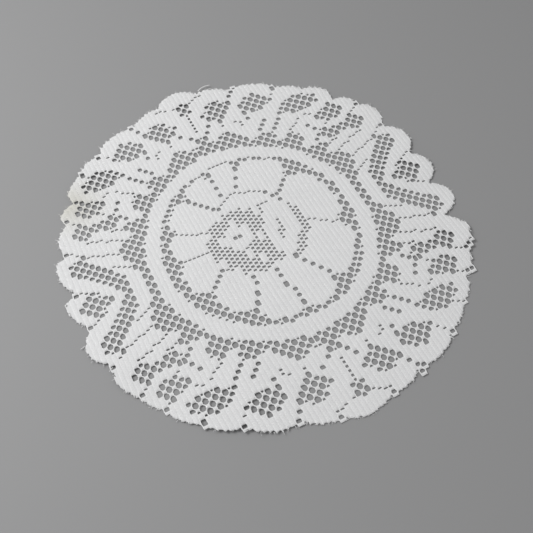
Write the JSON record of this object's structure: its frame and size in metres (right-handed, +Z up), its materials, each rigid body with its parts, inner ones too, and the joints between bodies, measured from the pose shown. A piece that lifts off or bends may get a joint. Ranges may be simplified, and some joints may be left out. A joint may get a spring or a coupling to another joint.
{
  "type": "round lace doily",
  "caption": "Round white machine-lace doily lying flat: scalloped edge, scroll border in open net, plain band and a flower in the middle.",
  "frame": {"origin": "middle of the underside, where the doily rests on the table: the centre of its outline's box", "axes": "+Z up out of the face that shows; +Y along the stitch columns; +X across them"},
  "size_m": [0.2494, 0.2576, 0.0012],
  "materials": {
    "lace": "matt white machine lace"
  },
  "bodies": {
    "root": {"doily": "lace"}
  },
  "joints": []
}
